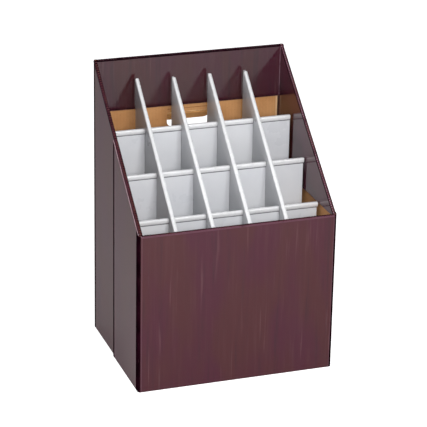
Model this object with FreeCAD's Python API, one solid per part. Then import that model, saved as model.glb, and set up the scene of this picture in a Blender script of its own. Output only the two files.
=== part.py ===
import FreeCAD, Part
import math
import os

# Upright file for rolled sheets: a slant-topped box folded from one printed corrugated blank,
# with an egg-crate insert of white boards whose top edges carry clip-on plastic channels.
# Millimetres. Origin at the centre of the base, +Z up, the low front faces -Y, +X to the right.

# Box, outside
width = 381.0
depth = 305.0
back_height = 547.0
front_height = 310.0
board = 3.0
fold_radius = 5.0
crown_radius = 2.6

# Glue flap, the end of the blank, lapped over the outside of the left wall
overlap_length = 162.0

# Hems: the rims folded down inside the walls
back_hem_depth = 102.0
front_hem_depth = 60.0
side_hem_drop = 6.0

# Bottom flaps
flap_gap = 1.0
flap_seam_y = 4.0

# Hand hole in the back wall, with its push-out flap hinged on the upper edge
hole_width = 88.0
hole_centre = 1.5
hole_height = 27.0
hole_top = 427.5
hole_corner = 10.0
flap_clearance = 0.4
flap_open_deg = 45.0

# Egg-crate insert
column_pitch = 71.7
row_pitch = 75.2
long_count = 4
front_row_setback = 79.9
front_row_top = 305.7
row_step = 61.1
cross_left_gap = 1.7
cross_right_gap = 3.7
long_front_gap = 2.0
long_back_gap = 9.0
crown_at_front = 260.0
long_slope = 0.874
shelf_length = 8.5
slot_clearance = 0.2
insert_lift = 0.2

# Channel moulding clipped on the insert's top edges
moulding_width = 6.0
moulding_leg = 9.0
moulding_wall = 1.3
moulding_round = 1.2
moulding_end_gap = 0.4
moulding_left_overhang = 1.3
moulding_right_overhangs = [2.1, 1.6, 0.3]
moulding_setbacks = [4.5, 8.0, 7.0, 8.5]

row_names = ["front", "middle", "back"]

# Derived positions
half_width = width / 2
half_depth = depth / 2
front = -half_depth
back = half_depth
left = -half_width
right = half_width
inner_left = left + board                   # outside face of the left panel, under the glue flap
corner_relief = fold_radius - board         # folded-in edges stop where a corner starts to bend
slope_start = front + fold_radius
slope_end = back - fold_radius
wall_slope = (back_height - front_height) / (slope_end - slope_start)
floor_top = 2 * board
insert_base = floor_top + insert_lift
big = 4 * back_height


def box(x0, x1, y0, y1, z0, z1):
    return Part.makeBox(x1 - x0, y1 - y0, z1 - z0, FreeCAD.Vector(x0, y0, z0))


def prism_yz(points, x0, x1):
    # solid between x0 and x1 whose outline is a list of (y, z) points
    corners = [FreeCAD.Vector(x0, y, z) for y, z in points]
    wire = Part.makePolygon(corners + corners[:1])
    return Part.Face(wire).extrude(FreeCAD.Vector(x1 - x0, 0, 0))


def bend(corner_x, corner_y, start_deg, height):
    # half of a vertical fold: an eighth turn of bent board about its own centre
    centre = FreeCAD.Vector(corner_x, corner_y, 0)
    up = FreeCAD.Vector(0, 0, 1)
    outer = Part.makeCylinder(fold_radius, height, centre, up, 45)
    inner = Part.makeCylinder(fold_radius - board, height, centre, up, 45)
    ring = outer.cut(inner)
    ring.rotate(centre, up, start_deg)
    return ring


def under_slope():
    # everything below the box's rim: level over the folds, sloping between them
    points = [
        (front - big, -big),
        (front - big, front_height),
        (slope_start, front_height),
        (slope_end, back_height),
        (back + big, back_height),
        (back + big, -big),
    ]
    return prism_yz(points, left - big, right + big)


def sloped_rim(y):
    return front_height + wall_slope * (min(max(y, slope_start), slope_end) - slope_start)


def is_level(edge, height):
    return all(abs(vertex.Z - height) < 0.01 for vertex in edge.Vertexes)


def is_outer_arc(edge):
    return edge.Curve.TypeId == "Part::GeomCircle" and edge.Curve.Radius > fold_radius - 0.1


def crowned(shape, height, on_face):
    # the rim is a fold, so its outside edge is round; two plies meet back to back under it
    edges = []
    for edge in shape.Edges:
        middle = edge.valueAt((edge.FirstParameter + edge.LastParameter) / 2)
        if is_level(edge, height) and (on_face(middle) or is_outer_arc(edge)):
            edges.append(edge)
    return shape.makeFillet(crown_radius, edges)


def round_slope(shape, face_x, inward, y0, y1):
    # the same round along a sloping rim, taken off with a cutter laid along it
    def at(x, z):
        return FreeCAD.Vector(face_x + inward * x, y0, sloped_rim(y0) + z)

    lean = crown_radius * (1 - math.sqrt(0.5))
    edges = [
        Part.Arc(at(0, -crown_radius), at(lean, -lean), at(crown_radius, 0)).toShape(),
        Part.makeLine(at(crown_radius, 0), at(crown_radius, board)),
        Part.makeLine(at(crown_radius, board), at(-board, board)),
        Part.makeLine(at(-board, board), at(-board, -crown_radius)),
        Part.makeLine(at(-board, -crown_radius), at(0, -crown_radius)),
    ]
    along = FreeCAD.Vector(0, y1 - y0, sloped_rim(y1) - sloped_rim(y0))
    return shape.cut(Part.Face(Part.Wire(edges)).extrude(along))


def front_panel():
    flat = box(left + fold_radius, right - fold_radius, front, front + board, 0, front_height)
    left_bend = bend(left + fold_radius, front + fold_radius, 225, front_height)
    right_bend = bend(right - fold_radius, front + fold_radius, 270, front_height)
    shape = flat.fuse([left_bend, right_bend]).removeSplitter()
    return crowned(shape, front_height, lambda p: p.y < front + 0.1)


def right_panel():
    flat = box(right - board, right, front + fold_radius, back - fold_radius, 0, back_height)
    front_bend = bend(right - fold_radius, front + fold_radius, 315, back_height)
    back_bend = bend(right - fold_radius, back - fold_radius, 0, back_height)
    shape = flat.fuse([front_bend, back_bend]).common(under_slope()).removeSplitter()
    return round_slope(shape, right, -1, slope_start, slope_end)


def hand_hole_outline(grow):
    # square at the upper edge, round at the lower corners; grow moves all but the upper edge outward
    half = hole_width / 2 + grow
    bottom = hole_top - hole_height - grow
    radius = hole_corner + grow
    lean = radius * math.sqrt(0.5)
    top_left = FreeCAD.Vector(-half, 0, hole_top)
    top_right = FreeCAD.Vector(half, 0, hole_top)
    side_right = FreeCAD.Vector(half, 0, bottom + radius)
    side_left = FreeCAD.Vector(-half, 0, bottom + radius)
    foot_right = FreeCAD.Vector(half - radius, 0, bottom)
    foot_left = FreeCAD.Vector(radius - half, 0, bottom)
    arc_right = FreeCAD.Vector(half - radius + lean, 0, bottom + radius - lean)
    arc_left = FreeCAD.Vector(radius - half - lean, 0, bottom + radius - lean)
    edges = [
        Part.makeLine(top_left, top_right),
        Part.makeLine(top_right, side_right),
        Part.Arc(side_right, arc_right, foot_right).toShape(),
        Part.makeLine(foot_right, foot_left),
        Part.Arc(foot_left, arc_left, side_left).toShape(),
        Part.makeLine(side_left, top_left),
    ]
    return Part.Face(Part.Wire(edges))


def hand_hole_tool():
    face = hand_hole_outline(0)
    face.translate(FreeCAD.Vector(hole_centre, back - 2 * board, 0))
    return face.extrude(FreeCAD.Vector(0, 3 * board, 0))


def back_panel():
    flat = box(inner_left + fold_radius, right - fold_radius, back - board, back, 0, back_height)
    right_bend = bend(right - fold_radius, back - fold_radius, 45, back_height)
    left_bend = bend(inner_left + fold_radius, back - fold_radius, 90, back_height)
    shape = flat.fuse([right_bend, left_bend]).removeSplitter()
    shape = crowned(shape, back_height, lambda p: p.y > back - 0.1)
    return shape.cut(hand_hole_tool())


def left_panel():
    flat = box(inner_left, inner_left + board, front + fold_radius, back - fold_radius, 0, back_height)
    back_bend = bend(inner_left + fold_radius, back - fold_radius, 135, back_height)
    shape = flat.fuse(back_bend).common(under_slope()).removeSplitter()
    return round_slope(shape, inner_left, 1, front + overlap_length, slope_end)


def left_overlap_flap():
    flat = box(left, left + board, front + fold_radius, front + overlap_length, 0, back_height)
    front_bend = bend(left + fold_radius, front + fold_radius, 180, back_height)
    return flat.fuse(front_bend).common(under_slope()).removeSplitter()


def front_hem():
    shape = box(inner_left + board, right - board - corner_relief, front + board, front + 2 * board,
                front_height - front_hem_depth, front_height)
    return crowned(shape, front_height, lambda p: p.y > front + 2 * board - 0.1)


def back_hem():
    x0 = inner_left + board + corner_relief
    x1 = right - board - corner_relief
    shape = box(x0, x1, back - 2 * board, back - board, back_height - back_hem_depth, back_height)
    return crowned(shape, back_height, lambda p: p.y < back - 2 * board + 0.1)


def side_hem(inside_x, outward):
    # a triangle folded in along the sloping rim; its free edge is level
    x0 = min(inside_x, inside_x + outward * board)
    y0 = front + 2 * board
    y1 = back - 2 * board
    block = box(x0, x0 + board, y0, y1, front_height - side_hem_drop, back_height)
    return round_slope(block.common(under_slope()), inside_x, outward, y0, y1)


def bottom_flap_pair():
    # the long flaps are the outer ones and meet just behind the middle line
    x0 = inner_left + board + corner_relief
    x1 = right - board - corner_relief
    near = box(x0, x1, front + board, flap_seam_y - flap_gap / 2, 0, board)
    far = box(x0, x1, flap_seam_y + flap_gap / 2, back - board, 0, board)
    return near, far


def bottom_side_pair():
    # the short flaps lie on top of the long ones
    y0 = front + board + corner_relief
    y1 = back - board - corner_relief
    near = box(inner_left + board, left + half_depth, y0, y1, board, floor_top)
    far = box(right - half_depth, right - board, y0, y1, board, floor_top)
    return near, far


def hand_hole_flap():
    face = hand_hole_outline(-flap_clearance)
    face.translate(FreeCAD.Vector(hole_centre, back - board, -flap_clearance / 2))
    shape = face.extrude(FreeCAD.Vector(0, board, 0))
    hinge = FreeCAD.Vector(0, back, hole_top)
    shape.rotate(hinge, FreeCAD.Vector(1, 0, 0), flap_open_deg)
    return shape


def long_positions():
    start = -column_pitch * (long_count - 1) / 2
    return [start + column_pitch * i for i in range(long_count)]


def row_positions():
    return [front + front_row_setback + row_pitch * i for i in range(len(row_names))]


def row_top(index):
    # height of the channel's crown over a cross board
    return front_row_top + row_step * index


def crown_height(y):
    # height of the channel's crown over a long board
    return crown_at_front + long_slope * (y - front)


def long_ends():
    return front + 2 * board + long_front_gap, back - 2 * board - long_back_gap


def cross_ends():
    return inner_left + 2 * board + cross_left_gap, right - 2 * board - cross_right_gap


def joint_height(index):
    # halved joints meet half way up each cross board
    return (insert_base + row_top(index)) / 2


def long_partition(x):
    # the sloping top turns level for a short shelf at the back
    y0, y1 = long_ends()
    shelf = y1 - shelf_length
    outline = [
        (y0, insert_base),
        (y0, crown_height(y0) - moulding_wall),
        (shelf, crown_height(shelf) - moulding_wall),
        (y1, crown_height(shelf) - moulding_wall),
        (y1, insert_base),
    ]
    shape = prism_yz(outline, x - board / 2, x + board / 2)
    for index, y in enumerate(row_positions()):
        half = board / 2 + slot_clearance
        slot = box(x - board, x + board, y - half, y + half, insert_base - board, joint_height(index))
        shape = shape.cut(slot)
    return shape


def cross_partition(index):
    x0, x1 = cross_ends()
    y = row_positions()[index]
    top = row_top(index) - moulding_wall
    shape = box(x0, x1, y - board / 2, y + board / 2, insert_base, top)
    for x in long_positions():
        half = board / 2 + slot_clearance
        slot = box(x - half, x + half, y - board, y + board, joint_height(index), top + board)
        shape = shape.cut(slot)
    return shape


def channel_profile(along, across):
    # inverted U in the plane square to "along", crown at z = 0, with rounded shoulders
    def at(u, z):
        return across * u + FreeCAD.Vector(0, 0, z)

    outer = moulding_width / 2
    inner = outer - moulding_wall
    shoulder = outer - moulding_round
    lean = moulding_round * (1 - math.sqrt(0.5))
    edges = [
        Part.makeLine(at(-shoulder, 0), at(shoulder, 0)),
        Part.Arc(at(shoulder, 0), at(outer - lean, -lean), at(outer, -moulding_round)).toShape(),
        Part.makeLine(at(outer, -moulding_round), at(outer, -moulding_leg)),
        Part.makeLine(at(outer, -moulding_leg), at(inner, -moulding_leg)),
        Part.makeLine(at(inner, -moulding_leg), at(inner, -moulding_wall)),
        Part.makeLine(at(inner, -moulding_wall), at(-inner, -moulding_wall)),
        Part.makeLine(at(-inner, -moulding_wall), at(-inner, -moulding_leg)),
        Part.makeLine(at(-inner, -moulding_leg), at(-outer, -moulding_leg)),
        Part.makeLine(at(-outer, -moulding_leg), at(-outer, -moulding_round)),
        Part.Arc(at(-outer, -moulding_round), at(lean - outer, -lean), at(-shoulder, 0)).toShape(),
    ]
    return Part.Face(Part.Wire(edges)).extrude(along)


def long_moulding(x, setback):
    # laid along the slope, its ends cut upright
    y0, y1 = long_ends()
    y1 = y1 - setback
    along = FreeCAD.Vector(0, y1 - y0, crown_height(y1) - crown_height(y0))
    shape = channel_profile(along, FreeCAD.Vector(1, 0, 0))
    shape.translate(FreeCAD.Vector(x, y0, crown_height(y0)))
    return shape


def cross_moulding(index):
    # one length between each pair of long boards, and one at each end
    x0, x1 = cross_ends()
    stop = board / 2 + moulding_end_gap
    starts = [x0 - moulding_left_overhang] + [x + stop for x in long_positions()]
    ends = [x - stop for x in long_positions()] + [x1 + moulding_right_overhangs[index]]
    lengths = []
    for start, end in zip(starts, ends):
        piece = channel_profile(FreeCAD.Vector(end - start, 0, 0), FreeCAD.Vector(0, 1, 0))
        piece.translate(FreeCAD.Vector(start, row_positions()[index], row_top(index)))
        lengths.append(piece)
    return Part.makeCompound(lengths)


def all_nodes():
    near_flap, far_flap = bottom_flap_pair()
    left_flap, right_flap = bottom_side_pair()
    inside_left = inner_left + 2 * board
    inside_right = right - 2 * board
    nodes = {
        "front_panel": front_panel(),
        "right_panel": right_panel(),
        "back_panel": back_panel(),
        "left_panel": left_panel(),
        "left_overlap_flap": left_overlap_flap(),
        "front_hem": front_hem(),
        "back_hem": back_hem(),
        "right_hem": side_hem(inside_right, 1),
        "left_hem": side_hem(inside_left, -1),
        "bottom_flap_front": near_flap,
        "bottom_flap_back": far_flap,
        "bottom_flap_left": left_flap,
        "bottom_flap_right": right_flap,
        "hand_hole_flap": hand_hole_flap(),
    }
    for number, x in enumerate(long_positions(), start=1):
        nodes["long_partition_%d" % number] = long_partition(x)
        nodes["long_moulding_%d" % number] = long_moulding(x, moulding_setbacks[number - 1])
    for index, name in enumerate(row_names):
        nodes["cross_partition_" + name] = cross_partition(index)
        nodes["cross_moulding_" + name] = cross_moulding(index)
    return nodes


os.makedirs("parts", exist_ok=True)
for node_name, node_shape in all_nodes().items():
    node_shape.exportStep("parts/%s.step" % node_name)
    extent = node_shape.BoundBox
    print("%-24s solids %d valid %s  x %.1f %.1f  y %.1f %.1f  z %.1f %.1f" % (
        node_name, len(node_shape.Solids), node_shape.isValid(),
        extent.XMin, extent.XMax, extent.YMin, extent.YMax, extent.ZMin, extent.ZMax))
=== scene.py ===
import math
import random

import bpy
from mathutils import Matrix, Vector


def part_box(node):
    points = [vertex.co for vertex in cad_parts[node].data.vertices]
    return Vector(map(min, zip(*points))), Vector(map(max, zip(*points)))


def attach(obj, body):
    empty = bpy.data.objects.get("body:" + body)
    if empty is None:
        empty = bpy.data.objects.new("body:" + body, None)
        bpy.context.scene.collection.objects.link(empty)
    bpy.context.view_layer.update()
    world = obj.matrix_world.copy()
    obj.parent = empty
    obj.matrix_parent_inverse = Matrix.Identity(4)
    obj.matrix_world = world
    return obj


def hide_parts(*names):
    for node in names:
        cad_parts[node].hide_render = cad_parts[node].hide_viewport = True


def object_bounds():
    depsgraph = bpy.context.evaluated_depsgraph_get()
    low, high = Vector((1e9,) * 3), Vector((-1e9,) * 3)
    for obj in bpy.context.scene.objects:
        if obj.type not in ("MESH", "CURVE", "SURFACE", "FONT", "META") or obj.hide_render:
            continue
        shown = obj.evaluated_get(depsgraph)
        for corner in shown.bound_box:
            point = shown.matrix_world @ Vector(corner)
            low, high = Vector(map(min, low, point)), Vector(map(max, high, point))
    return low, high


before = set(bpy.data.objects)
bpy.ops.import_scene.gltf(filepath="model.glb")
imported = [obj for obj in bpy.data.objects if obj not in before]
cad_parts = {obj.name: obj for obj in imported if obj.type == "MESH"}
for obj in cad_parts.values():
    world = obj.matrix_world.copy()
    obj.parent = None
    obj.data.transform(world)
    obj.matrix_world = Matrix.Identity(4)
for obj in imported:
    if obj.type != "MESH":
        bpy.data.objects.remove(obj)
cad_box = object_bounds()

MM = 0.001
X_AXIS = Vector((1, 0, 0))
Y_AXIS = Vector((0, 1, 0))
Z_AXIS = Vector((0, 0, 1))

# The shell, read back from the frame
front_lo, front_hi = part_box("front_panel")
back_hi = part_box("back_panel")[1]
right_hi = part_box("right_panel")[1]
left_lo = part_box("left_panel")[0]
lap_lo, lap_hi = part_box("left_overlap_flap")
back_hem_lo, back_hem_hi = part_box("back_hem")
FRONT_Y = front_lo.y
BACK_Y = back_hi.y
RIGHT_X = right_hi.x
LEFT_X = lap_lo.x               # outside of the glue flap
INNER_LEFT_X = left_lo.x        # outside of the left wall, under the glue flap
FRONT_TOP = front_hi.z
BACK_TOP = back_hi.z
BOARD = back_hem_hi.y - back_hem_lo.y

# The board and its folds
FOLD = 5.0 * MM                 # outside radius of the box's upright folds
FLUTE_PITCH = 6.4 * MM
PRINT_SKIN = 0.1 * MM           # depth over which the print gives way to bare kraft
SEAM_WIDTH = 7.5 * MM           # painted shade band along the glue flap's end
# the paler line in front of that band
SEAM_PALE = 4.0 * MM
# widths of the painted shade in the back's inner right corner, of the painted highlight beside it, and of
# the painted highlight at the back hem's right end
CORNER_DARK = 2.5 * MM
CORNER_LIGHT = 3.0 * MM
CORNER_HIGHLIGHT = 1.8 * MM
FOLD_WIDTH = 5.2 * MM           # crushed print and painted shade beside an upright fold
SHOULDER_WIDTH = 1.2 * MM       # painted highlight beside that
LINE_SOFT = 0.4 * MM

# The insert
LONG_COUNT = 4
CHANNEL_LEG = 9.0 * MM
FOOT_SHADOW_HALF = 1.7 * MM            # half of the painted shadow line under a channel's feet
FOOT_SHADOW_SOFT = 0.5 * MM

# Camera, matched to the photograph's direction
CAMERA_AZIMUTH = -19.37
CAMERA_ELEVATION = 21.89
CAMERA_ROLL = 1.09
CAMERA_PLACE = (-1.1972, -3.4135, 1.7279)
CAMERA_LENS = 174.9
SENSOR = 36.0
CAMERA_REACH = 50.0


def make_camera():
    azimuth = math.radians(CAMERA_AZIMUTH)
    elevation = math.radians(CAMERA_ELEVATION)
    back = Vector((
        math.sin(azimuth) * math.cos(elevation),
        -math.cos(azimuth) * math.cos(elevation),
        math.sin(elevation),
    ))
    level = Z_AXIS.cross(back).normalized()
    upright = back.cross(level)
    roll = math.radians(CAMERA_ROLL)
    right = level * math.cos(roll) + upright * math.sin(roll)
    up = upright * math.cos(roll) - level * math.sin(roll)
    turn = Matrix((right, up, back)).transposed().to_4x4()
    data = bpy.data.cameras.new("camera")
    data.lens = CAMERA_LENS
    data.sensor_width = SENSOR
    data.clip_end = CAMERA_REACH
    camera = bpy.data.objects.new("camera", data)
    bpy.context.scene.collection.objects.link(camera)
    camera.matrix_world = Matrix.Translation(CAMERA_PLACE) @ turn
    bpy.context.scene.camera = camera


# ---------------------------------------------------------------- material helpers

class Tree:
    # a short way to write a material's node tree

    def __init__(self, name):
        self.material = bpy.data.materials.new(name)
        self.material.use_nodes = True
        self.nodes = self.material.node_tree.nodes
        self.links = self.material.node_tree.links
        self.shader = self.nodes["Principled BSDF"]

    def put(self, socket, value):
        if isinstance(value, bpy.types.NodeSocket):
            self.links.new(value, socket)
        else:
            socket.default_value = value

    def add(self, kind, inputs=(), output=0, **settings):
        made = self.nodes.new(kind)
        for key, value in settings.items():
            setattr(made, key, value)
        for key, value in dict(inputs).items():
            self.put(made.inputs[key], value)
        return made.outputs[output]

    def math(self, operation, a, b=0.0):
        return self.add("ShaderNodeMath", {0: a, 1: b}, operation=operation)

    def smooth(self, value, low, high):
        return self.add("ShaderNodeMapRange", {0: value, 1: low, 2: high, 3: 0.0, 4: 1.0},
                        interpolation_type="SMOOTHSTEP")

    def mix(self, factor, a, b):
        made = self.nodes.new("ShaderNodeMix")
        made.data_type = "RGBA"
        self.put(made.inputs[0], factor)
        self.put(made.inputs[6], a)
        self.put(made.inputs[7], b)
        return made.outputs[2]

    def blend(self, factor, a, b):
        made = self.nodes.new("ShaderNodeMix")
        self.put(made.inputs[0], factor)
        self.put(made.inputs[2], a)
        self.put(made.inputs[3], b)
        return made.outputs[0]

    def place(self):
        # position in the row frame, in metres, as (vector, x, y, z)
        vector = self.add("ShaderNodeTexCoord", output="Object")
        split = self.nodes.new("ShaderNodeSeparateXYZ")
        self.links.new(vector, split.inputs[0])
        return vector, split.outputs[0], split.outputs[1], split.outputs[2]

    def join(self, x, y, z):
        return self.add("ShaderNodeCombineXYZ", {0: x, 1: y, 2: z})

    def noise(self, vector, scale, detail=3.0, roughness=0.55):
        return self.add("ShaderNodeTexNoise", {
            "Vector": vector, "Scale": scale, "Detail": detail, "Roughness": roughness})

    def stain(self, tone, ink, value, low, high, strength):
        # ink over the tone where the value goes from low to high, no stronger than given
        return self.mix(self.math("MULTIPLY", self.smooth(value, low, high), strength), tone, ink)

    def bump(self, height, distance, strength=1.0):
        normal = self.add("ShaderNodeBump", {"Height": height, "Distance": distance, "Strength": strength})
        self.links.new(normal, self.shader.inputs["Normal"])

    def set(self, **values):
        for key, value in values.items():
            self.put(self.shader.inputs[key.replace("_", " ")], value)


def colour(red, green, blue):
    return (red, green, blue, 1.0)


# ---------------------------------------------------------------- materials

BLACK = colour(0.0, 0.0, 0.0)
PRINT_PLUM = colour(0.064, 0.0108, 0.0235)
PRINT_OLIVE = colour(0.066, 0.0150, 0.0185)
PRINT_PALE = colour(0.135, 0.055, 0.062)
PRINT_BROWN = colour(0.088, 0.028, 0.033)
PRINT_DUSK = colour(0.040, 0.0120, 0.0190)
# near-black fold tones: crushed print with painted shade
PRINT_FOLD_SHADE = colour(0.014, 0.0022, 0.0060)
PRINT_CRUSHED_SHADE = colour(0.005, 0.0010, 0.0024)
PAPER_PALE = colour(0.290, 0.170, 0.215)
PRINT_HIGHLIGHT = colour(0.115, 0.050, 0.068)
PRINT_DULL_SHADE = colour(0.045, 0.016, 0.022)
KRAFT_HIGHLIGHT = colour(0.68, 0.42, 0.22)
# print worn through at cracks, also used as a painted highlight beside folds
PRINT_WEAR_AND_HIGHLIGHT = colour(0.190, 0.085, 0.115)
KRAFT_LIGHT = colour(0.545, 0.272, 0.105)
KRAFT_DARK = colour(0.455, 0.212, 0.075)
KRAFT_FIBRE = colour(0.62, 0.37, 0.19)
KRAFT_SPECK = colour(0.20, 0.08, 0.03)
KRAFT_GROOVE = colour(0.25, 0.11, 0.04)
WHITE_COOL = colour(0.61, 0.62, 0.65)
WHITE_WARM = colour(0.66, 0.665, 0.685)
WHITE_FIBRE = colour(0.46, 0.45, 0.44)
WHITE_FOOT_SHADOW = colour(0.07, 0.07, 0.08)
PLASTIC_DEEP = colour(0.74, 0.745, 0.76)
PLASTIC_PALE = colour(0.82, 0.82, 0.83)
PLASTIC_SCUFF = colour(0.50, 0.50, 0.51)
LEFT_MIRROR = 0.34              # the left side's varnish mirrors less than the other walls'


def wave(t, along, pitch):
    return t.math("SINE", t.math("MULTIPLY", along, 2 * math.pi / pitch))


def streaks(t, along, z, per_metre, per_metre_up, slice_at, detail, roughness):
    # noise drawn out upright; slice_at picks another pattern
    point = t.join(t.math("MULTIPLY", along, per_metre), t.math("MULTIPLY", z, per_metre_up), slice_at)
    return t.noise(point, 1.0, detail, roughness)


def print_colour(t, along, z):
    # printed wood grain: upright streaks at three widths, and a few short pale ones
    fine = streaks(t, along, z, 330.0, 7.0, 0.3, 2.0, 0.5)
    middle = streaks(t, along, z, 110.0, 5.0, 4.7, 3.0, 0.6)
    broad = streaks(t, along, z, 17.0, 5.0, 9.1, 2.0, 0.5)
    pale = streaks(t, along, z, 150.0, 6.0, 2.9, 2.0, 0.5)
    tone = t.mix(t.smooth(broad, 0.38, 0.62), PRINT_PLUM, PRINT_OLIVE)
    tone = t.stain(tone, PRINT_BROWN, middle, 0.52, 0.72, 0.30)
    tone = t.stain(tone, PRINT_DUSK, middle, 0.45, 0.28, 0.50)
    tone = t.stain(tone, PRINT_BROWN, fine, 0.56, 0.75, 0.16)
    tone = t.stain(tone, PRINT_DUSK, fine, 0.44, 0.28, 0.18)
    return t.stain(tone, PRINT_PALE, pale, 0.62, 0.76, 0.40)


def from_corner(t, x, y):
    # distance along a wall from the nearest upright fold of the box
    across = t.math("SUBTRACT", RIGHT_X, t.math("ABSOLUTE", x))
    deep = t.math("SUBTRACT", BACK_Y, t.math("ABSOLUTE", y))
    return t.math("ADD", across, deep)


def kraft_colour(t, vector, along):
    cloud = t.noise(vector, 22.0, 4.0, 0.6)
    fibre = t.noise(vector, 900.0, 2.0, 0.7)
    speck = t.noise(vector, 380.0, 1.0, 0.5)
    flute = wave(t, along, FLUTE_PITCH)
    tone = t.mix(t.smooth(cloud, 0.3, 0.7), KRAFT_DARK, KRAFT_LIGHT)
    tone = t.stain(tone, KRAFT_FIBRE, fibre, 0.5, 0.8, 0.25)
    tone = t.stain(tone, KRAFT_SPECK, speck, 0.66, 0.74, 0.35)
    tone = t.mix(t.math("MULTIPLY", t.math("ADD", flute, 1.0), 0.04), tone, KRAFT_GROOVE)
    return tone, fibre, flute


def band(t, value, low, high, soft):
    # 1 between low and high, fading to 0 over soft on each side
    rise = t.smooth(value, low - soft, low)
    fall = t.smooth(value, high + soft, high)
    return t.math("MULTIPLY", rise, fall)


def line_across(t, axes, line, tone, ink, strength):
    # an upright line over the wall: line is (axis, low, high)
    axis, low, high = line
    return t.mix(t.math("MULTIPLY", band(t, axes[axis], low, high, LINE_SOFT), strength), tone, ink)


def printed_board(name, inside=None, shade_line=None, light_line=None, paper=PAPER_PALE, paler=1.0,
                  shade=1.0, mirror=0.5, kraft_lines=False):
    # inside is (axis, position, sign): past that plane the sheet shows its bare kraft side
    # the two lines after it are (axis, low, high): a line painted dark as shade, and a paler line in the
    # paper tone, which is a painted highlight at the back's inner corner and the back hem's end
    # kraft_lines keeps both lines to the bare kraft side
    t = Tree(name)
    vector, x, y, z = t.place()
    axes = {"x": x, "y": y}
    along = t.math("ADD", x, y)
    tone = t.mix(shade, BLACK, print_colour(t, along, z))
    # a painted highlight on the shoulder beside each upright fold
    shoulder = band(t, from_corner(t, x, y), FOLD_WIDTH, FOLD_WIDTH + SHOULDER_WIDTH, LINE_SOFT)
    tone = t.mix(t.math("MULTIPLY", shoulder, 0.30), tone, PRINT_WEAR_AND_HIGHLIGHT)
    flute = wave(t, along, FLUTE_PITCH)
    handling = t.noise(vector, 14.0, 3.0, 0.6)
    gloss = t.blend(t.smooth(handling, 0.35, 0.75), 0.10, 0.17)
    height = t.math("ADD", t.math("MULTIPLY", flute, 0.5), t.math("MULTIPLY", t.noise(vector, 260.0), 0.08))
    if inside is not None:
        axis, position, sign = inside
        past = t.math("MULTIPLY", t.math("SUBTRACT", axes[axis], position), sign)
        bare = t.smooth(past, -PRINT_SKIN / 2, PRINT_SKIN / 2)
        kraft, fibre, _ = kraft_colour(t, vector, along)
        tone = t.mix(bare, tone, kraft)
        gloss = t.blend(bare, gloss, 0.88)
        height = t.math("ADD", height, t.math("MULTIPLY", t.math("MULTIPLY", fibre, bare), 0.8))
    side = bare if kraft_lines else 1.0
    # a dark line painted as shade
    if shade_line is not None:
        tone = line_across(t, axes, shade_line, tone, PRINT_FOLD_SHADE, t.math("MULTIPLY", side, 0.9))
    # a paler line broken up by noise; it is a painted highlight at the back's corner and the back hem's end
    if light_line is not None:
        patchy = t.math("MULTIPLY", t.smooth(t.noise(vector, 60.0, 3.0, 0.6), 0.25, 0.50), paler)
        tone = line_across(t, axes, light_line, tone, paper, t.math("MULTIPLY", side, patchy))
    t.set(Base_Color=tone, Roughness=gloss, Specular_IOR_Level=mirror)
    t.bump(height, 0.03 * MM, 0.5)
    return t.material


def fold_shade_material(name, paler=None, paper=PAPER_PALE):
    # the print along a fold: nearly black, cracked, and dull; crushed print with painted shade over it
    # the stretch given as (axis, low, high) is painted across the fold in the given paper tone, as a
    # painted highlight
    t = Tree(name)
    vector, x, y, _ = t.place()
    crack = t.noise(vector, 240.0, 4.0, 0.7)
    cloud = t.noise(vector, 45.0, 3.0, 0.6)
    tone = t.mix(t.smooth(cloud, 0.35, 0.7), PRINT_CRUSHED_SHADE, PRINT_FOLD_SHADE)
    tone = t.stain(tone, PRINT_WEAR_AND_HIGHLIGHT, crack, 0.66, 0.76, 0.35)
    if paler is not None:
        tone = line_across(t, {"x": x, "y": y}, paler, tone, paper, t.smooth(cloud, 0.25, 0.45))
    t.set(Base_Color=tone, Roughness=0.6, Specular_IOR_Level=0.0)
    t.bump(crack, 0.06 * MM, 0.6)
    return t.material


def kraft_board(name):
    t = Tree(name)
    vector, x, y, _ = t.place()
    tone, fibre, flute = kraft_colour(t, vector, t.math("ADD", x, y))
    t.set(Base_Color=tone, Roughness=0.9, Specular_IOR_Level=0.15)
    t.bump(t.math("ADD", fibre, t.math("MULTIPLY", flute, 0.4)), 0.06 * MM, 0.7)
    return t.material


# kraft in two tones, used only for painted light: the flap's brighter kraft and the score lines' highlight
# and shadow
def painted_light_kraft(name, deep, pale):
    t = Tree(name)
    vector = t.place()[0]
    torn = t.noise(vector, 300.0, 3.0, 0.7)
    tone = t.mix(t.smooth(torn, 0.3, 0.7), deep, pale)
    t.set(Base_Color=tone, Roughness=0.9, Specular_IOR_Level=0.1)
    t.bump(torn, 0.12 * MM, 0.8)
    return t.material


def raw_edge(name, pale, deep, shade_from=None):
    # torn paper on a knife-cut edge; beyond the given place along x it is painted dark as shade
    t = Tree(name)
    vector, x = t.place()[:2]
    torn = t.noise(vector, 420.0, 3.0, 0.7)
    cloud = t.noise(vector, 60.0, 2.0, 0.6)
    tone = t.mix(t.smooth(torn, 0.35, 0.7), deep, pale)
    tone = t.stain(tone, deep, cloud, 0.5, 0.75, 0.6)
    if shade_from is not None:
        tone = t.mix(t.smooth(x, shade_from, shade_from + PRINT_SKIN), tone, PRINT_DULL_SHADE)
    t.set(Base_Color=tone, Roughness=0.85, Specular_IOR_Level=0.1)
    t.bump(torn, 0.10 * MM, 0.8)
    return t.material


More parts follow.
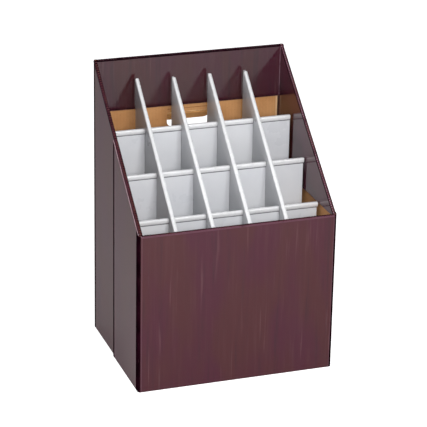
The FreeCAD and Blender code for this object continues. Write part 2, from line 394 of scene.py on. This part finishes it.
def white_board(name, shade, shadow_at=None):
    # the last argument is the height of a grey line painted on the board as the shadow under the channel's
    # feet
    t = Tree(name)
    vector, x, y, z = t.place()
    cloud = t.noise(vector, 9.0, 4.0, 0.6)
    fibre = t.noise(vector, 700.0, 2.0, 0.7)
    tone = t.mix(t.smooth(cloud, 0.3, 0.7), WHITE_COOL, WHITE_WARM)
    tone = t.mix(shade, tone, BLACK)
    tone = t.stain(tone, WHITE_FIBRE, fibre, 0.62, 0.8, 0.18)
    if shadow_at is not None:
        # painted shadow under the channel's feet
        line = band(t, z, shadow_at - FOOT_SHADOW_HALF, shadow_at + FOOT_SHADOW_HALF, FOOT_SHADOW_SOFT)
        tone = t.mix(t.math("MULTIPLY", line, 0.85), tone, WHITE_FOOT_SHADOW)
    flute = wave(t, t.math("ADD", x, y), FLUTE_PITCH)
    gloss = t.blend(t.smooth(cloud, 0.35, 0.65), 0.27, 0.34)
    t.set(Base_Color=tone, Roughness=gloss, Specular_IOR_Level=0.5)
    t.bump(t.math("ADD", t.math("MULTIPLY", flute, 0.5), t.math("MULTIPLY", fibre, 0.15)), 0.02 * MM, 0.5)
    return t.material


def white_plastic(name):
    t = Tree(name)
    vector, x, y, z = t.place()
    cloud = t.noise(vector, 30.0, 3.0, 0.6)
    draw_lines = t.noise(t.join(t.math("MULTIPLY", x, 60.0), t.math("MULTIPLY", y, 3.0), z), 20.0, 2.0)
    scuff = t.noise(vector, 160.0, 2.0, 0.6)
    tone = t.mix(cloud, PLASTIC_DEEP, PLASTIC_PALE)
    tone = t.stain(tone, PLASTIC_SCUFF, scuff, 0.62, 0.78, 0.25)
    rough = t.blend(t.smooth(cloud, 0.3, 0.7), 0.22, 0.34)
    t.set(Base_Color=tone, Roughness=rough)
    t.bump(draw_lines, 0.02 * MM, 0.4)
    return t.material


def paint(node, material):
    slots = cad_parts[node].data.materials
    slots.clear()
    slots.append(material)


kraft = kraft_board("kraft_liner")
# the long boards are painted 21% darker than the cross boards, as shade
white = white_board("white_board_long", 0.21)
plastic = white_plastic("white_channel")
# the rims, creases and seam band are painted near black as shade
fold_shade_print = fold_shade_material("shaded_print_at_fold")
cut_paper = raw_edge("cut_edge", colour(0.48, 0.32, 0.36), colour(0.12, 0.05, 0.065))
# the glue flap's cut edge: cut paper made paler in part as a painted highlight, its inner liner painted
# dark as shade
lap_paper = raw_edge("lap_edge", colour(0.66, 0.48, 0.54), colour(0.34, 0.19, 0.23), LEFT_X + BOARD / 2)
# the front and back hems' cut edges are painted dark as shade
hem_shade_paper = raw_edge("hem_edge_shade", colour(0.15, 0.062, 0.070), colour(0.045, 0.016, 0.020))
torn_paper = raw_edge("torn_edge", colour(0.80, 0.47, 0.22), colour(0.46, 0.22, 0.08))
# the flutes between the liners are painted near black as shade
flute_shade_paper = raw_edge("cut_flute_shade", colour(0.060, 0.025, 0.025), colour(0.010, 0.004, 0.005))


def paint_cad():
    kraft_depth = BOARD - PRINT_SKIN
    paint("front_panel", printed_board("print_front", ("y", FRONT_Y + kraft_depth, 1.0)))
    paint("right_panel", printed_board("print_right", ("x", RIGHT_X - kraft_depth, -1.0)))
    # the back's inner right corner: a painted shade line and a painted highlight beside it
    corner = RIGHT_X - 2 * BOARD - CORNER_DARK
    paint("back_panel", printed_board("print_back", ("y", BACK_Y - kraft_depth, -1.0),
                                      shade_line=("x", corner, RIGHT_X - FOLD),
                                      light_line=("x", corner - CORNER_LIGHT, corner),
                                      paper=KRAFT_HIGHLIGHT, kraft_lines=True))
    paint("left_panel", printed_board("print_left", ("x", INNER_LEFT_X + kraft_depth, 1.0),
                                      mirror=LEFT_MIRROR))
    # a paler line in front of the painted shade band at the glue flap's end
    seam = lap_hi.y - SEAM_WIDTH
    paint("left_overlap_flap", printed_board("print_lap", ("x", LEFT_X + kraft_depth, 1.0),
                                             light_line=("y", seam - SEAM_PALE, seam), paler=0.3,
                                             mirror=LEFT_MIRROR))
    # the back hem's print is painted 30% darker as shade, with a painted highlight along its right end
    paint("back_hem", printed_board("print_back_hem", shade=0.70, mirror=0.66, paler=0.7,
                                    light_line=("x", back_hem_hi.x - CORNER_HIGHLIGHT, back_hem_hi.x + BOARD)))
    plain = printed_board("print_both_sides")
    for node in ("front_hem", "right_hem", "left_hem"):
        paint(node, plain)
    for node in ("bottom_flap_front", "bottom_flap_back", "bottom_flap_left", "bottom_flap_right"):
        paint(node, kraft)
    for row in ("front", "middle", "back"):
        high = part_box("cross_moulding_" + row)[1]
        paint("cross_partition_" + row, white_board("white_board_" + row, 0.0, high.z - CHANNEL_LEG))
    for number in range(1, LONG_COUNT + 1):
        paint("long_partition_%d" % number, white)


# ---------------------------------------------------------------- swept pieces

def make_piece(name, points, faces, material, body, sharp_degrees=35.0):
    mesh = bpy.data.meshes.new(name)
    mesh.from_pydata(points, [], faces)
    mesh.validate()
    mesh.shade_smooth()
    mesh.set_sharp_from_angle(angle=math.radians(sharp_degrees))
    mesh.materials.append(material)
    piece = bpy.data.objects.new(name, mesh)
    bpy.context.scene.collection.objects.link(piece)
    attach(piece, body)
    return piece


def skin(rings):
    # quads between closed rings of equal length, with a flat cap on each end
    count = len(rings[0])
    points = [tuple(p) for ring in rings for p in ring]
    faces = []
    for i in range(len(rings) - 1):
        for j in range(count):
            k = (j + 1) % count
            faces.append((i * count + j, i * count + k, (i + 1) * count + k, (i + 1) * count + j))
    last = (len(rings) - 1) * count
    faces.append(tuple(reversed(range(count))))
    faces.append(tuple(range(last, last + count)))
    return points, faces


def join_skins(parts):
    points, faces = [], []
    for more_points, more_faces in parts:
        base = len(points)
        points += more_points
        faces += [tuple(base + index for index in face) for face in more_faces]
    return points, faces


RIM_PROUD = 0.2 * MM
RIM_DEPTH = 4.5 * MM
RIM_CROWN = 2.7 * MM
RIM_INSET = 0.9 * MM
RIM_STEP = 0.7 * MM
RIPPLE_PITCH = 5.0 * MM
RIPPLE_HEIGHT = 0.45 * MM
RIPPLE_LEAST = 0.7              # the shallowest ripple, as a share of that height
RIPPLE_SPREAD = 0.6             # and how much more the deepest one has
SIDE_GIVE = 0.3                 # share of a ripple left where the rim's sides are upright
SWELL_HEIGHT = 0.12             # a slow rise and fall along the rim, as a share of a ripple
SWELL_RATE = 61.0               # in radians per metre
SWELL_DRIFT = 9.0               # in radians, for the whole of the rim's random shift
ARC_STEPS = 5
RIGHT_HIGHLIGHT = (0.63 * MM, 1.8 * MM)    # painted highlight on the right rim, from the hem's inner face
FRONT_HIGHLIGHT = 0.36 * MM        # the front rim carries a painted highlight from outside as far in as this


def rim_outline(half_width):
    # points (across, up, how far a ripple moves it, its outward direction), from foot to foot
    outline = [(-half_width, -RIM_DEPTH, 0.0, (-1.0, 0.0))]
    for side, first in ((-1, 180.0), (1, 90.0)):
        for step in range(ARC_STEPS + 1):
            turn = math.radians(first - 90.0 * step / ARC_STEPS)
            out = (math.cos(turn), math.sin(turn))
            centre = side * (half_width - RIM_CROWN)
            give = SIDE_GIVE + (1.0 - SIDE_GIVE) * out[1]
            outline.append((centre + RIM_CROWN * out[0], RIM_CROWN * (out[1] - 1.0), give, out))
    outline.append((half_width, -RIM_DEPTH, 0.0, (1.0, 0.0)))
    return outline


def folded_rim(name, start, end, across, up, half_width, material, dice):
    # the crushed fold along a rim, with the washboard that the flutes press through it
    along = end - start
    steps = int(along.length / RIM_STEP)
    outline = rim_outline(half_width + RIM_PROUD)
    ripples = int(along.length / RIPPLE_PITCH) + 2
    depth_of = [RIPPLE_LEAST + RIPPLE_SPREAD * dice.random() for _ in range(ripples)]
    drift = dice.random()
    rings = []
    for i in range(steps + 1):
        distance = along.length * i / steps
        cycle = distance / RIPPLE_PITCH + drift
        ripple = (0.5 - 0.5 * math.cos(2 * math.pi * cycle)) * depth_of[int(cycle) % len(depth_of)]
        ripple += SWELL_HEIGHT * math.sin(distance * SWELL_RATE + drift * SWELL_DRIFT)
        middle = start + along * (i / steps) + up * RIM_PROUD
        outer, inner = [], []
        for a, b, give, out in outline:
            move = -RIPPLE_HEIGHT * ripple * give
            outer.append(middle + across * (a + out[0] * move) + up * (b + out[1] * move))
            inner.append(middle + across * (a - out[0] * RIM_INSET) + up * (b - out[1] * RIM_INSET))
        rings.append(outer + inner[::-1])
    points, faces = skin(rings)
    return make_piece(name, points, faces, material, "shell", 60.0)


def make_rims():
    dice = random.Random(11)
    slope_from = Vector((0, FRONT_Y + FOLD, FRONT_TOP))
    slope_to = Vector((0, BACK_Y - FOLD, BACK_TOP))
    slope_up = X_AXIS.cross(slope_to - slope_from).normalized()
    inner_right = RIGHT_X - 2 * BOARD
    # the rims are painted near black as shade; the right and front ones carry a pale stretch as a painted
    # highlight
    highlight_right = ("x", inner_right + RIGHT_HIGHLIGHT[0], inner_right + RIGHT_HIGHLIGHT[1])
    highlight_front = ("y", FRONT_Y - BOARD, FRONT_Y + FRONT_HIGHLIGHT)
    print_right = fold_shade_material("rim_print_right", highlight_right)
    print_front = fold_shade_material("rim_print_front", highlight_front, PRINT_HIGHLIGHT)
    right_middle = X_AXIS * (RIGHT_X - BOARD)
    folded_rim("rim_right", slope_from + right_middle, slope_to + right_middle, X_AXIS, slope_up, BOARD,
               print_right, dice)
    left_middle = X_AXIS * (INNER_LEFT_X + BOARD)
    folded_rim("rim_left", slope_from + left_middle, slope_to + left_middle, X_AXIS, slope_up, BOARD,
               fold_shade_print, dice)
    right_end = X_AXIS * (RIGHT_X - FOLD)
    front_middle = Vector((0, FRONT_Y + BOARD, FRONT_TOP))
    folded_rim("rim_front", front_middle + X_AXIS * (LEFT_X + FOLD), front_middle + right_end,
               Y_AXIS * -1, Z_AXIS, BOARD, print_front, dice)
    back_middle = Vector((0, BACK_Y - BOARD, BACK_TOP))
    folded_rim("rim_back", back_middle + X_AXIS * (INNER_LEFT_X + FOLD), back_middle + right_end,
               Y_AXIS * -1, Z_AXIS, BOARD, fold_shade_print, dice)


CREASE_PROUD = 0.12 * MM
CREASE_SUNK = 0.5 * MM
CREASE_GROOVE = 0.10 * MM
CREASE_GROOVE_WIDTH = 0.9       # in steps of the outline
CREASE_WANDER = 0.3             # how much its height varies
CREASE_FLAT = 0.7               # share of each end at full height, before it thins out
CREASE_THIN = 0.2               # share of the height left at its edges
CREASE_SHORT = 0.3 * MM         # a crease ends this much under the rim
CREASE_ROWS = 60
CREASE_TURNS = 8
CREASE_FRONT_LEFT = 11.2 * MM
CREASE_FRONT_LEFT_TURN = 72.0
CREASE_WIDE = 7.0 * MM
CREASE_SLIM = 3.0 * MM
CREASE_END = 0.15 * MM


def wall_top(y):
    # height of the side walls' rim
    share = (y - FRONT_Y - FOLD) / (BACK_Y - FRONT_Y - 2 * FOLD)
    return FRONT_TOP + (BACK_TOP - FRONT_TOP) * min(max(share, 0.0), 1.0)


def upright_crease(name, centre_x, centre_y, first_degrees, side_reach, dice, spread=90.0):
    # a pressed fold painted dark as shade: a thin skin round the bend, along the side wall and just past
    # the other end
    turns = [math.radians(first_degrees + spread * i / CREASE_TURNS) for i in range(CREASE_TURNS + 1)]
    arc = [(math.cos(turn), math.sin(turn)) for turn in turns]
    first, last = Vector((arc[0][0], arc[0][1], 0)), Vector((arc[-1][0], arc[-1][1], 0))
    before = Vector((first.y, -first.x, 0))
    after = Vector((-last.y, last.x, 0))
    side_first = abs(first.x) > 0.5
    reach_before = side_reach if side_first else CREASE_END
    reach_after = CREASE_END if side_first else side_reach
    centre = Vector((centre_x, centre_y, 0))
    outline = [(centre + first * FOLD + before * reach_before, first, CREASE_THIN)]
    outline.append((centre + first * FOLD + before * reach_before * CREASE_FLAT, first, 1.0))
    outline += [(centre + Vector((c, s, 0)) * FOLD, Vector((c, s, 0)), 1.0) for c, s in arc]
    outline.append((centre + last * FOLD + after * reach_after * CREASE_FLAT, last, 1.0))
    outline.append((centre + last * FOLD + after * reach_after, last, CREASE_THIN))
    middle = (len(outline) - 1) / 2
    wander = [dice.uniform(-1.0, 1.0) for _ in range(CREASE_ROWS + 1)]
    rings = []
    for row in range(CREASE_ROWS + 1):
        outer, inner = [], []
        for index, (place, out, share) in enumerate(outline):
            lift = Z_AXIS * (wall_top(place.y) * row / CREASE_ROWS - CREASE_SHORT * (row == CREASE_ROWS))
            groove = math.exp(-((index - middle) / CREASE_GROOVE_WIDTH) ** 2)
            proud = CREASE_PROUD * share * (1.0 + CREASE_WANDER * wander[row]) - CREASE_GROOVE * groove
            outer.append(place + out * proud + lift)
            inner.append(place - out * CREASE_SUNK + lift)
        rings.append(outer + inner[::-1])
    points, faces = skin(rings)
    return make_piece(name, points, faces, fold_shade_print, "shell", 50.0)


def make_creases():
    dice = random.Random(23)
    front, back, right = FRONT_Y + FOLD, BACK_Y - FOLD, RIGHT_X - FOLD
    upright_crease("crease_front_left", LEFT_X + FOLD, front, 180.0, CREASE_FRONT_LEFT, dice,
                   CREASE_FRONT_LEFT_TURN)
    upright_crease("crease_front_right", right, front, 270.0, CREASE_SLIM, dice)
    upright_crease("crease_back_right", right, back, 0.0, CREASE_SLIM, dice)
    upright_crease("crease_back_left", INNER_LEFT_X + FOLD, back, 90.0, CREASE_WIDE, dice)


def shade_band(name, x, low_y, high_y):
    # a dark, dull upright band on the left side, from the floor to the sloping rim: painted shade along the
    # glue flap's end
    rings = []
    for top in (0.0, 1.0):
        ring = []
        for into, ends in ((-CREASE_PROUD, (low_y, high_y)), (CREASE_SUNK, (high_y, low_y))):
            for y in ends:
                ring.append(Vector((x + into, y, top * wall_top(y))))
        rings.append(ring)
    points, faces = skin(rings)
    make_piece(name, points, faces, fold_shade_print, "shell")


def make_seam():
    shade_band("seam_shade_on_lap", LEFT_X, lap_hi.y - SEAM_WIDTH, lap_hi.y)


HOLE_CENTRE = 1.5 * MM          # to the right of the box's middle
HOLE_WIDTH = 88.0 * MM
HOLE_HEIGHT = 27.0 * MM
HOLE_TOP = 427.5 * MM
HOLE_CORNER = 10.0 * MM
FLAP_GAP = 0.4 * MM
FLAP_OPEN = math.radians(45.0)
FLAP_ROWS = 24
FLAP_COLUMNS = 30
FLAP_CURL = 0.8 * MM
FLAP_CRUSHED = 0.45             # share of the board's thickness left at the crease
FLAP_CRUSH_REACH = 5.0 * MM
FLAP_WOBBLE = 0.08 * MM
FLAP_CROWDING = 0.8             # below 1, the rows crowd towards the far edge
FLAP_SLIVER = 0.15 * MM         # least reach of the rounded corners
FLAP_FACING = 0.6               # a face that looks along the sheet's depth less than this is torn edge


def make_hand_flap():
    # the flap pushed out of the hand hole, its crease crushed thin and its sheet a little bowed
    dice = random.Random(5)
    down = Vector((0, math.sin(FLAP_OPEN), -math.cos(FLAP_OPEN)))
    inward = Vector((0, -math.cos(FLAP_OPEN), -math.sin(FLAP_OPEN)))
    hinge = Vector((HOLE_CENTRE, BACK_Y, HOLE_TOP))
    length = HOLE_HEIGHT - FLAP_GAP
    half = HOLE_WIDTH / 2 - FLAP_GAP
    wobble = [dice.uniform(-1.0, 1.0) * FLAP_WOBBLE for _ in range(FLAP_COLUMNS + 1)]
    rings = []
    for row in range(FLAP_ROWS + 1):
        share = (row / FLAP_ROWS) ** FLAP_CROWDING
        reach = FLAP_GAP / 2 + (length - FLAP_GAP / 2) * share
        short = max(reach - (length - HOLE_CORNER), 0.0)
        width = half - HOLE_CORNER + math.sqrt(max(HOLE_CORNER ** 2 - short ** 2, FLAP_SLIVER ** 2))
        crush = min(FLAP_CRUSHED + reach / FLAP_CRUSH_REACH, 1.0)
        bow = FLAP_CURL * math.sin(math.pi * share * 0.5) ** 2
        outer, inner = [], []
        for column in range(FLAP_COLUMNS + 1):
            across = width * (2.0 * column / FLAP_COLUMNS - 1.0)
            place = hinge + Vector((across, 0, 0)) + down * reach - inward * (bow * 0.5)
            outer.append(place + inward * (wobble[column] * (1.0 - share) + BOARD * (1.0 - crush) * 0.5))
            inner.append(place + inward * (BOARD * (1.0 + crush) * 0.5 + wobble[column] * share))
        rings.append(outer + inner[::-1])
    points, faces = skin(rings)
    # the flap's kraft is painted brighter than the wall's kraft, as painted bounce light
    lit_flap_kraft = painted_light_kraft("lit_flap_kraft", colour(0.80, 0.38, 0.13), colour(0.90, 0.46, 0.17))
    piece = make_piece("hand_flap_sheet", points, faces, lit_flap_kraft, "hand_flap", 40.0)
    piece.data.materials.append(printed_board("print_flap"))
    piece.data.materials.append(torn_paper)
    for face in piece.data.polygons:
        facing = face.normal.dot(inward)
        if facing < -FLAP_FACING:
            face.material_index = 1
        elif facing < FLAP_FACING:
            face.material_index = 2
    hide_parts("hand_hole_flap")


SCORE_RADIUS = 0.6 * MM
SCORE_INSET = 1.0 * MM
SCORE_WANDER = 0.15 * MM
SCORE_LEAST = 0.8               # the thinnest place, as a share of the radius
SCORE_SPREAD = 0.4              # and how much more the thickest one has
SCORE_LIP_UP = 0.7 * MM
SCORE_SHADOW_UP = 8.0 * MM
SCORE_SIDES = 8
SCORE_STEPS = 90


def score_line(name, height, radius_share, material, dice):
    # a thin raised tube along a crease over the hand hole; the pale one is a painted highlight, the dark
    # one a painted shadow
    half = HOLE_WIDTH / 2 - SCORE_INSET
    rings = []
    for step in range(SCORE_STEPS + 1):
        x = HOLE_CENTRE - half + 2 * half * step / SCORE_STEPS
        radius = SCORE_RADIUS * radius_share * (SCORE_LEAST + SCORE_SPREAD * dice.random())
        lift = SCORE_WANDER * dice.uniform(-1.0, 1.0)
        ring = []
        for side in range(SCORE_SIDES):
            turn = 2 * math.pi * side / SCORE_SIDES
            ring.append(Vector((x, BACK_Y - BOARD + radius * math.sin(turn),
                                height + lift + radius * math.cos(turn))))
        rings.append(ring)
    points, faces = skin(rings)
    make_piece(name, points, faces, material, "shell", 60.0)


def make_score_lines():
    dice = random.Random(7)
    # a pale tone as a painted highlight on the crease, and a dark tone as a painted shadow above it
    pale = painted_light_kraft("painted_light_kraft", colour(0.60, 0.33, 0.14), colour(0.85, 0.55, 0.28))
    deep = painted_light_kraft("score_shadow_kraft", colour(0.16, 0.055, 0.016), colour(0.28, 0.11, 0.035))
    score_line("flap_score_lip", HOLE_TOP + SCORE_LIP_UP, 1.0, pale, dice)
    score_line("flap_score_shadow", HOLE_TOP + SCORE_SHADOW_UP, 0.7, deep, dice)


LINER = 0.55 * MM
LINER_PROUD = 0.35 * MM
HEM_FRINGE = 1.0 * MM           # the hems' first liner hangs out this much further
LAP_SPLAY = 0.15 * MM
FLUTE_STEPS = 10
FLUTE_HALF = 0.2 * MM
FLUTE_BED = 0.1 * MM
FLUTE_SWING = 0.92              # share of the room between the liners
FLUTE_DEPTH = 0.8               # share of the liners' depth


def strip(start, end, across, out, low, high, thick):
    # a straight square bar between start and end
    rings = []
    for place in (start, end):
        rings.append([place + across * low - out * thick, place + across * high - out * thick,
                      place + across * high + out * thick, place + across * low + out * thick])
    return skin(rings)


def cut_edge(name, start, end, across, out, paper, fringe=0.0, splay=0.0):
    # a cut edge of the board: its two liners, with the fluted paper between them painted near black as
    # shade
    # fringe is how much further the first liner hangs out, splay how much wider it is crushed
    along = end - start
    half = BOARD / 2
    liners = [
        strip(start, end, across, out, -half, -half + LINER + splay, LINER_PROUD + fringe),
        strip(start, end, across, out, half - LINER, half, LINER_PROUD),
    ]
    points, faces = join_skins(liners)
    make_piece(name + "_liners", points, faces, paper, "shell", 30.0)
    reach = half - LINER
    steps = int(along.length / FLUTE_PITCH * FLUTE_STEPS)
    rings = []
    for i in range(steps + 1):
        distance = along.length * i / steps
        swing = reach * FLUTE_SWING * math.sin(2 * math.pi * distance / FLUTE_PITCH)
        middle = start + along * (i / steps) + across * swing
        wide, deep = across * FLUTE_HALF, out * (LINER_PROUD * FLUTE_DEPTH)
        rings.append([middle - wide - deep, middle + wide - deep,
                      middle + wide + deep, middle - wide + deep])
    bed = strip(start, end, across, out, -reach, reach, FLUTE_BED)
    points, faces = join_skins([skin(rings), bed])
    make_piece(name + "_flute", points, faces, flute_shade_paper, "shell", 30.0)


def make_cut_edges():
    rise = (BACK_TOP - FRONT_TOP) / (BACK_Y - FRONT_Y - 2 * FOLD)
    lap_x = LEFT_X + BOARD / 2
    lap_start = Vector((lap_x, FRONT_Y + FOLD, FRONT_TOP))
    lap_length = lap_hi.y - lap_start.y
    lap_end = lap_start + Vector((0, lap_length, lap_length * rise))
    slope_up = X_AXIS.cross(lap_end - lap_start).normalized()
    cut_edge("lap_top_edge", lap_start, lap_end, X_AXIS, slope_up, lap_paper, splay=LAP_SPLAY)
    cut_edge("lap_back_edge", Vector((lap_x, lap_hi.y, 0)), lap_end, X_AXIS, Y_AXIS, cut_paper)
    down = Z_AXIS * -1
    for node in ("front_hem", "back_hem"):
        low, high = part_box(node)
        middle = (low.y + high.y) / 2
        start, end = Vector((low.x, middle, low.z)), Vector((high.x, middle, low.z))
        cut_edge(node + "_edge", start, end, Y_AXIS, down, hem_shade_paper, HEM_FRINGE)
    for node in ("left_hem", "right_hem"):
        low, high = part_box(node)
        middle = (low.x + high.x) / 2
        start, end = Vector((middle, low.y, low.z)), Vector((middle, high.y, low.z))
        cut_edge(node + "_edge", start, end, X_AXIS, down, cut_paper)


CHANNEL_GAP = 0.4 * MM
CHANNEL_WALL = 1.25 * MM
CHANNEL_BELLY = 0.7 * MM
CROWN_CROSS = 2.2 * MM
CROWN_LONG = 3.3 * MM
BELLY_TILT = math.radians(33.0)
BELLY_STEPS = 6
END_ROUND = (0.55, 0.86, 1.0)   # how full the channel is at each step in from its end
END_STEP = 0.45 * MM
END_DROP = 1.7 * MM
END_NARROW = 0.25
CROWN_SLACK = 1.01              # so that rounding leaves none of the crown's own points out


def channel_outline(half_width, crown):
    # an upside-down U whose sides belly out under the crown and tuck in at the feet
    widest = half_width + CHANNEL_BELLY
    radius = (CHANNEL_LEG - crown) / math.sin(BELLY_TILT)
    side = []
    for step in range(1, BELLY_STEPS + 1):
        tilt = BELLY_TILT * step / BELLY_STEPS
        side.append((widest - radius * (1 - math.cos(tilt)), -crown - radius * math.sin(tilt)))
    outer = [(-across, up) for across, up in reversed(side)]
    for hand, first in ((-1, 180.0), (1, 90.0)):
        for step in range(ARC_STEPS + 1):
            turn = math.radians(first - 90.0 * step / ARC_STEPS)
            centre = hand * (widest - crown)
            outer.append((centre + crown * math.cos(turn), crown * (math.sin(turn) - 1.0)))
    outer += side
    inside = half_width - CHANNEL_WALL
    roof = -CHANNEL_WALL
    return outer + [(inside, -CHANNEL_LEG), (inside, roof), (-inside, roof), (-inside, -CHANNEL_LEG)]


def channel_run(start, end, across, half_width, crown):
    # a length of channel whose crown drops and narrows a little at both ends
    outline = channel_outline(half_width, crown)
    along = (end - start).normalized()
    length = (end - start).length
    stations = [(END_STEP * i, share) for i, share in enumerate(END_ROUND)]
    stations += [(length - distance, share) for distance, share in reversed(stations)]
    rings = []
    for distance, share in stations:
        middle = start + along * distance
        drop = END_DROP * (1.0 - share)
        ring = []
        for a, b in outline:
            sunk = b - drop if b > -crown * CROWN_SLACK else b
            ring.append(middle + across * (a * (1.0 - END_NARROW * (1.0 - share))) + Z_AXIS * sunk)
        rings.append(ring)
    return skin(rings)


def make_channels():
    columns = []
    for number in range(1, LONG_COUNT + 1):
        node = "long_moulding_%d" % number
        low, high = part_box(node)
        middle = (low.x + high.x) / 2
        columns.append(middle)
        start = Vector((middle, low.y, low.z + CHANNEL_LEG))
        end = Vector((middle, high.y, high.z))
        points, faces = channel_run(start, end, X_AXIS, (high.x - low.x) / 2, CROWN_LONG)
        piece = make_piece("channel_long_%d" % number, points, faces, plastic, "insert")
        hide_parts(node)
    stop = BOARD / 2 + CHANNEL_GAP
    for row in ("front", "middle", "back"):
        node = "cross_moulding_" + row
        low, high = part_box(node)
        middle = (low.y + high.y) / 2
        starts = [low.x] + [x + stop for x in columns]
        ends = [x - stop for x in columns] + [high.x]
        runs = []
        for x0, x1 in zip(starts, ends):
            start, end = Vector((x0, middle, high.z)), Vector((x1, middle, high.z))
            runs.append(channel_run(start, end, Y_AXIS * -1, (high.y - low.y) / 2, CROWN_CROSS))
        points, faces = join_skins(runs)
        piece = make_piece("channel_cross_" + row, points, faces, plastic, "insert")
        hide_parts(node)


# ---------------------------------------------------------------- stage and light

FLOOR_ALBEDO = 0.62             # the grey table that light and reflections meet
FLOOR_SEEN = 0.80               # the white paper that the camera meets, and its own glow
FLOOR_GLOW = 0.75
FLOOR_HALF = 20.0
FLOOR_DROP = 0.5 * MM
WORLD_COLOUR = colour(0.97, 0.98, 1.0)
WORLD_HORIZON = 0.70
WORLD_ZENITH = 0.32
WORLD_FADE = 0.8                # upward share of the direction at which the sky is darkest
KEY_PLACE = (-0.1, -2.3, 1.6)
KEY_SIZE = 1.1
KEY_POWER = 59.5
SIDE_PLACE = (-2.9, -0.5, 1.2)
SIDE_SIZE = 1.1
SIDE_POWER = 26.0


def make_floor():
    # the camera meets clean white paper with a faint contact shadow; everything else meets a grey table
    corners = [(x * FLOOR_HALF, y * FLOOR_HALF, 0) for x, y in ((-1, -1), (1, -1), (1, 1), (-1, 1))]
    mesh = bpy.data.meshes.new("floor")
    mesh.from_pydata(corners, [], [(0, 1, 2, 3)])
    floor = bpy.data.objects.new("floor", mesh)
    bpy.context.scene.collection.objects.link(floor)
    t = Tree("floor_white")
    t.set(Base_Color=colour(FLOOR_SEEN, FLOOR_SEEN, FLOOR_SEEN), Roughness=0.9, Specular_IOR_Level=0.0,
          Emission_Color=colour(1, 1, 1), Emission_Strength=FLOOR_GLOW)
    table = t.add("ShaderNodeBsdfDiffuse", {"Color": colour(FLOOR_ALBEDO, FLOOR_ALBEDO, FLOOR_ALBEDO)})
    seen = t.add("ShaderNodeLightPath", output="Is Camera Ray")
    both = t.add("ShaderNodeMixShader", {0: seen, 1: table, 2: t.shader.outputs[0]})
    t.links.new(both, t.nodes["Material Output"].inputs["Surface"])
    mesh.materials.append(t.material)
    floor.location.z = -FLOOR_DROP


def area_light(name, place, size, power):
    # a square lamp that looks at the middle of the object
    middle = (cad_box[0] + cad_box[1]) / 2
    data = bpy.data.lights.new(name, "AREA")
    data.shape = "SQUARE"
    data.size = size
    data.energy = power
    lamp = bpy.data.objects.new(name, data)
    bpy.context.scene.collection.objects.link(lamp)
    lamp.location = place
    lamp.rotation_mode = "QUATERNION"
    lamp.rotation_quaternion = (Vector(place) - middle).to_track_quat("Z", "Y")


def make_world():
    world = bpy.data.worlds.new("studio")
    bpy.context.scene.world = world
    world.use_nodes = True
    nodes, links = world.node_tree.nodes, world.node_tree.links
    direction = nodes.new("ShaderNodeTexCoord")
    split = nodes.new("ShaderNodeSeparateXYZ")
    fade = nodes.new("ShaderNodeMapRange")
    fade.inputs["From Max"].default_value = WORLD_FADE
    fade.inputs["To Min"].default_value = WORLD_HORIZON
    fade.inputs["To Max"].default_value = WORLD_ZENITH
    links.new(direction.outputs["Generated"], split.inputs[0])
    links.new(split.outputs["Z"], fade.inputs["Value"])
    links.new(fade.outputs[0], nodes["Background"].inputs["Strength"])
    nodes["Background"].inputs["Color"].default_value = WORLD_COLOUR
    bpy.context.scene.view_settings.view_transform = "Standard"


make_camera()
make_world()
make_floor()
area_light("key", KEY_PLACE, KEY_SIZE, KEY_POWER)
area_light("side", SIDE_PLACE, SIDE_SIZE, SIDE_POWER)
paint_cad()
make_rims()
make_creases()
make_seam()
make_cut_edges()
make_channels()
make_hand_flap()
make_score_lines()
